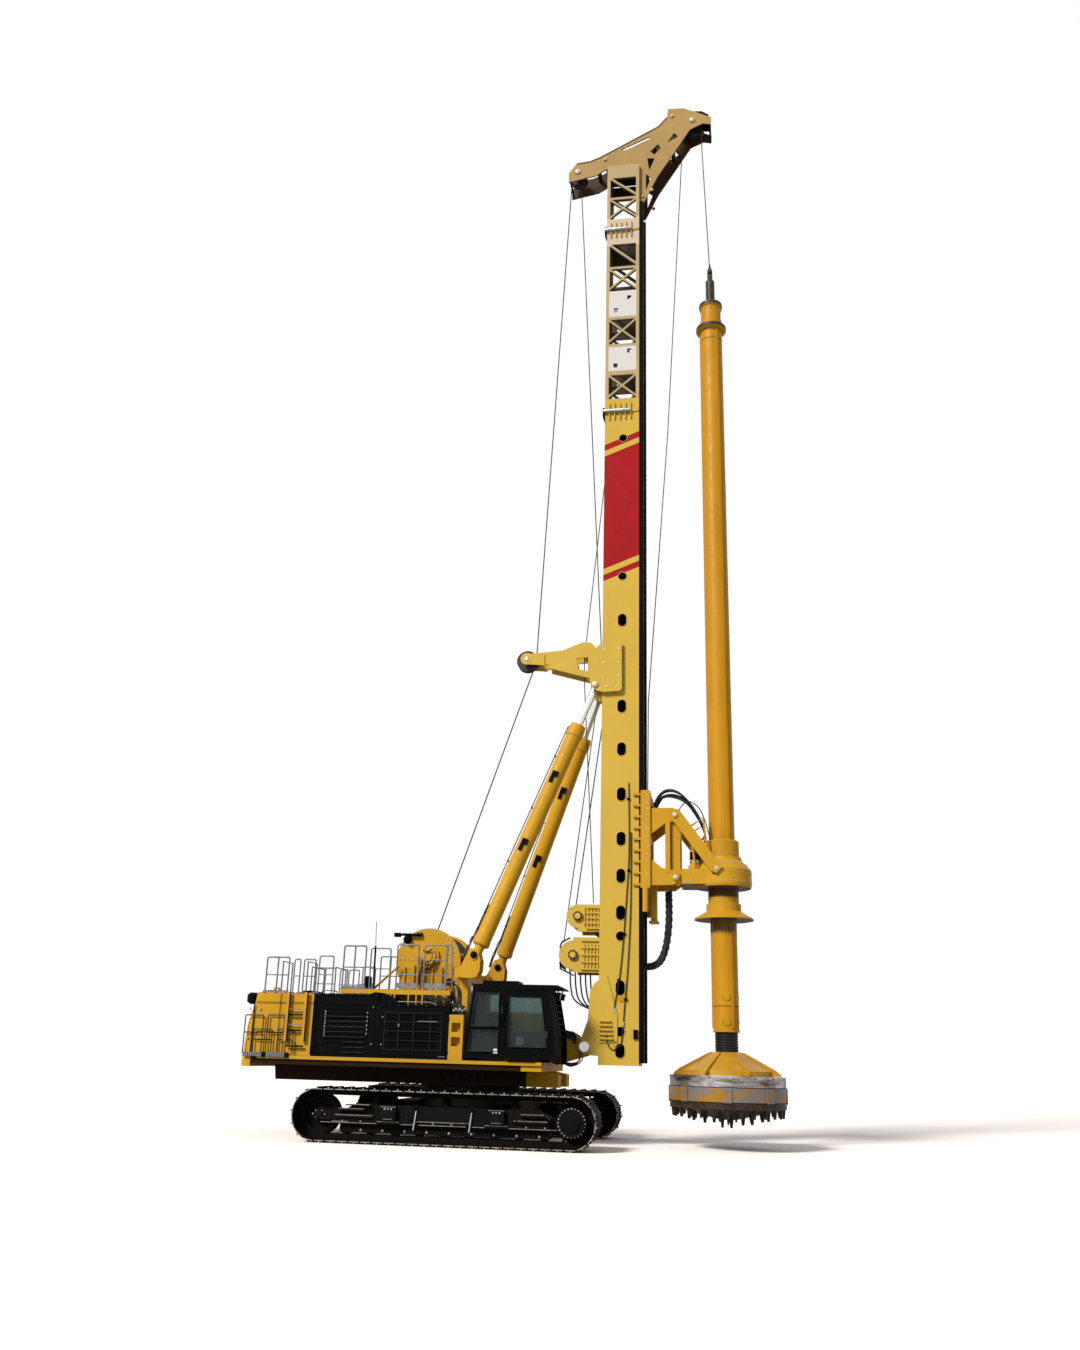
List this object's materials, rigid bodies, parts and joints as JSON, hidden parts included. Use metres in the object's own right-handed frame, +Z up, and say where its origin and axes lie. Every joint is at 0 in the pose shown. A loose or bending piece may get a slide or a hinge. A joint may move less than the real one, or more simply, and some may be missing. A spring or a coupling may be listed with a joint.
{
  "type": "rotary piling rig",
  "caption": "Crawler piling rig with a slewing upper, a luffing mast on two cylinders, a rotary drive carriage and a kelly bar with a drilling bucket.",
  "frame": {"origin": "on the ground under the middle of the whole machine's outline, from counterweight to drilling bucket", "axes": "+X forward, towards the drilling axis; +Y to the driver's left; +Z up"},
  "size_m": [12.08, 5.5, 28.23],
  "materials": {
    "machine_yellow": "satin, worn",
    "body_black": "satin",
    "track_black": "dusty",
    "bare_steel": "worn bare steel",
    "drum_steel": "dark, greased",
    "chrome_rod": "polished",
    "cab_glass": "tinted",
    "seat_fabric": "matt",
    "lattice_cream": "satin"
  },
  "bodies": {
    "undercarriage": {"track_left": "track_black", "track_right": "track_black", "track_frame_left": "track_black", "track_frame_right": "track_black", "track_rollers": "track_black", "track_sprockets": "track_black", "track_idlers": "track_black", "car_body": "track_black", "tow_eyes": "track_black", "slew_ring_lower": "track_black"},
    "upper": {"slew_ring_upper": "track_black", "deck_frame": "body_black", "mast_support": "machine_yellow", "mast_pivot_pin": "chrome_rod", "counterweight": "machine_yellow", "rear_hood": "machine_yellow", "engine_house": "body_black", "engine": "drum_steel", "step_column": "machine_yellow", "fuel_tank": "machine_yellow", "cab_shell": "body_black", "cab_glass": "cab_glass", "cab_seat": "seat_fabric", "cab_roof_guard": "body_black", "winch_platform": "machine_yellow", "main_winch_frame": "machine_yellow", "main_winch_drum": "drum_steel", "cylinder_towers": "machine_yellow"},
    "cab_door": {"cab_door": "body_black", "cab_door_glass": "cab_glass"},
    "louvre_door_right": {"louvre_door_right": "body_black"},
    "grille_door_right": {"grille_door_right": "body_black"},
    "louvre_door_left": {"louvre_door_left": "body_black"},
    "grille_door_left": {"grille_door_left": "body_black"},
    "barrel_left": {"luffing_barrel_left": "machine_yellow"},
    "barrel_right": {"luffing_barrel_right": "machine_yellow"},
    "rod_left": {"luffing_rod_left": "chrome_rod"},
    "rod_right": {"luffing_rod_right": "chrome_rod"},
    "mast": {"mast_box": "machine_yellow", "mast_rails": "drum_steel", "mast_lattice": "lattice_cream", "mast_foot": "machine_yellow", "cylinder_bracket": "machine_yellow", "pulley_arm": "machine_yellow", "aux_winch": "machine_yellow", "crowd_winch": "machine_yellow", "crown_frame": "machine_yellow"},
    "deflection_sheave": {"deflection_sheave": "drum_steel"},
    "crown_sheave_rear": {"crown_sheave_rear": "drum_steel"},
    "crown_sheave_front": {"crown_sheave_front": "drum_steel"},
    "carriage": {"carriage_frame": "machine_yellow", "rotary_gearbox": "machine_yellow"},
    "drive_sleeve": {"drive_sleeve": "machine_yellow"},
    "kelly_swivel": {"kelly_swivel": "drum_steel"},
    "kelly": {"kelly_bar": "machine_yellow", "drilling_bucket": "bare_steel"}
  },
  "joints": [
    {"name": "slew", "type": "hinge", "parent": "undercarriage", "child": "upper", "pos_m": [-1.09, 0, 1.09], "axis": [0, 0, 1], "continuous": true},
    {"name": "mast_tilt", "type": "hinge", "parent": "upper", "child": "mast", "pos_m": [1.59, 0, 2.06], "axis": [0, 1, 0], "range_deg": [-15, 5]},
    {"name": "barrel_swing_left", "type": "hinge", "parent": "upper", "child": "barrel_left", "pos_m": [-0.79, 1.45, 3.91], "axis": [0, 0.9882, 0.1533], "range_deg": [-18, 6.3]},
    {"name": "rod_stroke_left", "type": "slide", "parent": "barrel_left", "child": "rod_left", "axis": [0.3524, -0.1435, 0.9248], "range_m": [-0.714, 0.245]},
    {"name": "barrel_swing_right", "type": "hinge", "parent": "upper", "child": "barrel_right", "pos_m": [-0.79, -1.45, 3.91], "axis": [0, 0.9882, -0.1533], "range_deg": [-18, 6.3]},
    {"name": "rod_stroke_right", "type": "slide", "parent": "barrel_right", "child": "rod_right", "axis": [0.3524, 0.1435, 0.9248], "range_m": [-0.714, 0.245]},
    {"name": "crowd", "type": "slide", "parent": "mast", "child": "carriage", "axis": [0, 0, 1], "range_m": [-2.6, 9.4]},
    {"name": "kelly_hoist", "type": "slide", "parent": "mast", "child": "kelly_swivel", "axis": [0, 0, 1], "range_m": [-0.4, 2.8]},
    {"name": "kelly_spin", "type": "hinge", "parent": "kelly_swivel", "child": "kelly", "pos_m": [4.74, 0, 21.68], "axis": [0, 0, 1], "continuous": true},
    {"name": "drive_spin", "type": "hinge", "parent": "carriage", "child": "drive_sleeve", "pos_m": [4.74, 0, 5.6], "axis": [0, 0, 1], "continuous": true},
    {"name": "deflection_sheave_spin", "type": "hinge", "parent": "mast", "child": "deflection_sheave", "pos_m": [-0.06, 0, 11.38], "axis": [0, 1, 0], "continuous": true},
    {"name": "crown_sheave_rear_spin", "type": "hinge", "parent": "mast", "child": "crown_sheave_rear", "pos_m": [1.02, 0, 26.29], "axis": [0, 1, 0], "continuous": true},
    {"name": "crown_sheave_front_spin", "type": "hinge", "parent": "mast", "child": "crown_sheave_front", "pos_m": [4.33, 0, 27.75], "axis": [0, 1, 0], "continuous": true},
    {"name": "cab_door_hinge", "type": "hinge", "parent": "upper", "child": "cab_door", "pos_m": [-0.016, -1.664, 2.4], "axis": [0, 0, -1], "range_deg": [0, 90]},
    {"name": "louvre_door_right_hinge", "type": "hinge", "parent": "upper", "child": "louvre_door_right", "pos_m": [-4.331, -1.664, 2.4], "axis": [0, 0, -1], "range_deg": [0, 90]},
    {"name": "grille_door_right_hinge", "type": "hinge", "parent": "upper", "child": "grille_door_right", "pos_m": [-1.339, -1.664, 2.3], "axis": [0, 0, 1], "range_deg": [0, 90]},
    {"name": "louvre_door_left_hinge", "type": "hinge", "parent": "upper", "child": "louvre_door_left", "pos_m": [-4.331, 1.664, 2.4], "axis": [0, 0, 1], "range_deg": [0, 90]},
    {"name": "grille_door_left_hinge", "type": "hinge", "parent": "upper", "child": "grille_door_left", "pos_m": [-1.339, 1.664, 2.3], "axis": [0, 0, -1], "range_deg": [0, 90]}
  ],
  "couplings": [
    {"joint": "barrel_swing_left", "follows": "mast_tilt", "ratio": 1.164},
    {"joint": "rod_stroke_left", "follows": "mast_tilt", "m_per_rad": 2.69},
    {"joint": "barrel_swing_right", "follows": "mast_tilt", "ratio": 1.164},
    {"joint": "rod_stroke_right", "follows": "mast_tilt", "m_per_rad": 2.69},
    {"joint": "drive_spin", "follows": "kelly_spin", "ratio": 1}
  ]
}
